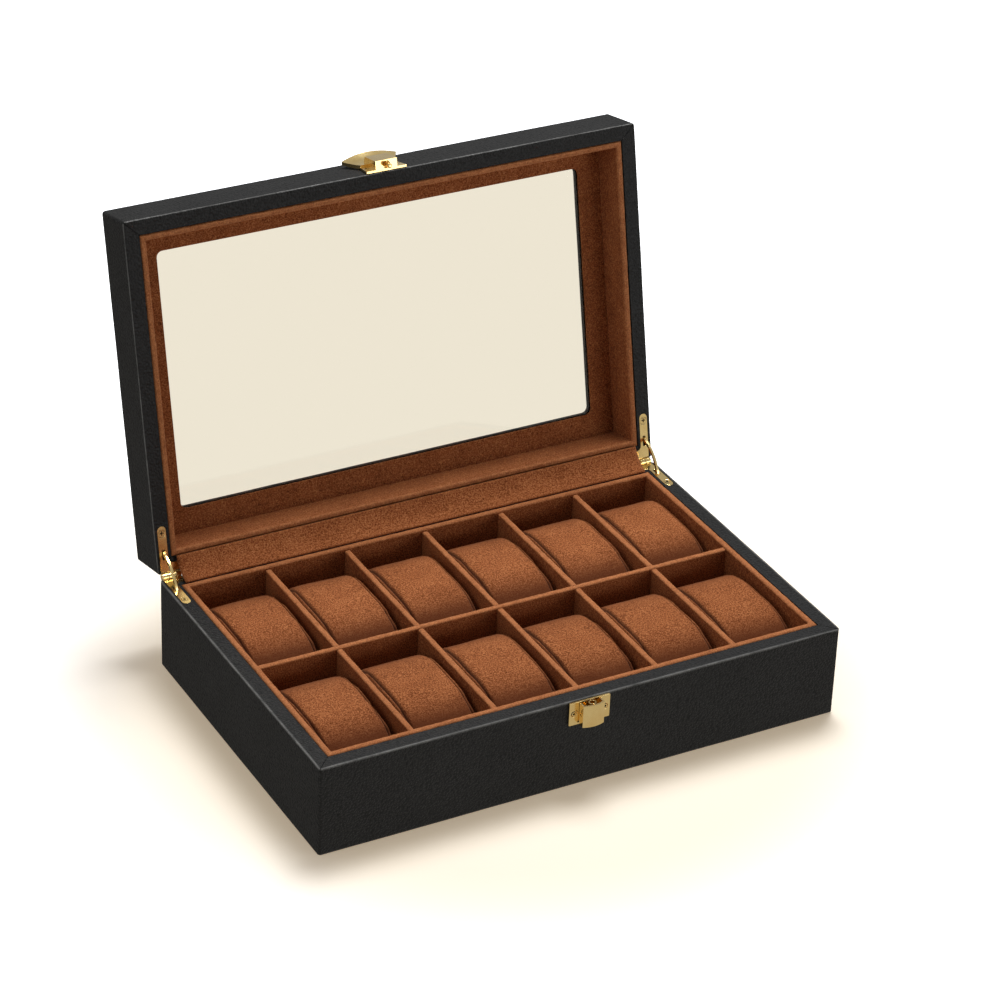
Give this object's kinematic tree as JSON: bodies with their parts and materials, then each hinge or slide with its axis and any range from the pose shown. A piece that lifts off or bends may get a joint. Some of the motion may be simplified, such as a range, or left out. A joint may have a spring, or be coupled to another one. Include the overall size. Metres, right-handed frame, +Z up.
{
  "type": "watch box",
  "caption": "Leather-covered wooden watch box: suede-lined compartments with a removable cushion in each, and a glazed lid held open by two stop hinges.",
  "frame": {"origin": "centre of the felt's underside, on the surface that the box stands on", "axes": "+X along the box to the right as seen from its front, +Y to the back where the hinges are, +Z up"},
  "size_m": [0.3, 0.2681, 0.2476],
  "materials": {
    "black_leather": "fine-pebbled black, low sheen, paler on worn edges",
    "brown_suede": "napped rust-brown suede cloth",
    "carcass_wood": "sanded, hidden under the leather and suede",
    "polished_brass": "gold-coloured, polished",
    "window_glass": "clear polished pane",
    "black_felt": "black felt"
  },
  "bodies": {
    "base": {"base_front_board": "carcass_wood", "base_back_board": "carcass_wood", "base_left_board": "carcass_wood", "base_right_board": "carcass_wood", "bottom_board": "carcass_wood", "felt_pad": "black_felt", "base_leather": "black_leather", "base_lining": "brown_suede", "floor_lining": "brown_suede", "row_divider": "brown_suede", "column_divider_1": "brown_suede", "column_divider_2": "brown_suede", "column_divider_3": "brown_suede", "column_divider_4": "brown_suede", "column_divider_5": "brown_suede", "hinge_cover": "brown_suede", "base_leaf_left": "polished_brass", "base_leaf_right": "polished_brass", "hinge_pin_left": "polished_brass", "hinge_pin_right": "polished_brass", "base_leaf_screw_left": "polished_brass", "base_leaf_screw_right": "polished_brass", "catch_plate": "polished_brass", "catch_socket": "polished_brass", "catch_pin": "polished_brass", "catch_spring": "polished_brass", "catch_screw_left": "polished_brass", "catch_screw_right": "polished_brass"},
    "lid": {"lid_front_board": "carcass_wood", "lid_back_board": "carcass_wood", "lid_left_board": "carcass_wood", "lid_right_board": "carcass_wood", "window_board": "carcass_wood", "window_glass": "window_glass", "window_lining": "brown_suede", "lid_leather": "black_leather", "lid_lining": "brown_suede", "lid_leaf_left": "polished_brass", "lid_leaf_right": "polished_brass", "lid_leaf_screw_left": "polished_brass", "lid_leaf_screw_right": "polished_brass", "latch_plate": "polished_brass", "latch_stud": "polished_brass", "latch_screw_left": "polished_brass", "latch_screw_right": "polished_brass"},
    "stay_left": {"stay_left": "polished_brass"},
    "stay_right": {"stay_right": "polished_brass"},
    "catch_lever": {"catch_lever": "polished_brass"},
    "cushion_front_1": {"cushion_front_1": "brown_suede"},
    "cushion_front_2": {"cushion_front_2": "brown_suede"},
    "cushion_front_3": {"cushion_front_3": "brown_suede"},
    "cushion_front_4": {"cushion_front_4": "brown_suede"},
    "cushion_front_5": {"cushion_front_5": "brown_suede"},
    "cushion_front_6": {"cushion_front_6": "brown_suede"},
    "cushion_back_1": {"cushion_back_1": "brown_suede"},
    "cushion_back_2": {"cushion_back_2": "brown_suede"},
    "cushion_back_3": {"cushion_back_3": "brown_suede"},
    "cushion_back_4": {"cushion_back_4": "brown_suede"},
    "cushion_back_5": {"cushion_back_5": "brown_suede"},
    "cushion_back_6": {"cushion_back_6": "brown_suede"}
  },
  "joints": [
    {"name": "lid_hinge", "type": "hinge", "parent": "base", "child": "lid", "pos_m": [0, 0.0975, 0.05235], "axis": [-1, 0, 0], "range_deg": [-102, 0], "deforming": ["hinge_cover"]},
    {"name": "stay_left_swing", "type": "hinge", "parent": "base", "child": "stay_left", "pos_m": [-0.1457, 0.0975, 0.05235], "axis": [-1, 0, 0], "range_deg": [-51, 0]},
    {"name": "stay_right_swing", "type": "hinge", "parent": "base", "child": "stay_right", "pos_m": [0.1457, 0.0975, 0.05235], "axis": [-1, 0, 0], "range_deg": [-51, 0]},
    {"name": "catch_press", "type": "hinge", "parent": "base", "child": "catch_lever", "pos_m": [0, -0.0992, 0.0447], "axis": [1, 0, 0], "range_deg": [0, 6], "stiffness_Nm_per_rad": 0.02, "springref_deg": -2.86},
    {"name": "cushion_front_1_lift", "type": "slide", "parent": "base", "child": "cushion_front_1", "axis": [0, 0, 1], "range_m": [0, 0.06]},
    {"name": "cushion_front_2_lift", "type": "slide", "parent": "base", "child": "cushion_front_2", "axis": [0, 0, 1], "range_m": [0, 0.06]},
    {"name": "cushion_front_3_lift", "type": "slide", "parent": "base", "child": "cushion_front_3", "axis": [0, 0, 1], "range_m": [0, 0.06]},
    {"name": "cushion_front_4_lift", "type": "slide", "parent": "base", "child": "cushion_front_4", "axis": [0, 0, 1], "range_m": [0, 0.06]},
    {"name": "cushion_front_5_lift", "type": "slide", "parent": "base", "child": "cushion_front_5", "axis": [0, 0, 1], "range_m": [0, 0.06]},
    {"name": "cushion_front_6_lift", "type": "slide", "parent": "base", "child": "cushion_front_6", "axis": [0, 0, 1], "range_m": [0, 0.06]},
    {"name": "cushion_back_1_lift", "type": "slide", "parent": "base", "child": "cushion_back_1", "axis": [0, 0, 1], "range_m": [0, 0.06]},
    {"name": "cushion_back_2_lift", "type": "slide", "parent": "base", "child": "cushion_back_2", "axis": [0, 0, 1], "range_m": [0, 0.06]},
    {"name": "cushion_back_3_lift", "type": "slide", "parent": "base", "child": "cushion_back_3", "axis": [0, 0, 1], "range_m": [0, 0.06]},
    {"name": "cushion_back_4_lift", "type": "slide", "parent": "base", "child": "cushion_back_4", "axis": [0, 0, 1], "range_m": [0, 0.06]},
    {"name": "cushion_back_5_lift", "type": "slide", "parent": "base", "child": "cushion_back_5", "axis": [0, 0, 1], "range_m": [0, 0.06]},
    {"name": "cushion_back_6_lift", "type": "slide", "parent": "base", "child": "cushion_back_6", "axis": [0, 0, 1], "range_m": [0, 0.06]}
  ],
  "couplings": [
    {"joint": "stay_left_swing", "follows": "lid_hinge", "ratio": 0.5},
    {"joint": "stay_right_swing", "follows": "lid_hinge", "ratio": 0.5}
  ]
}
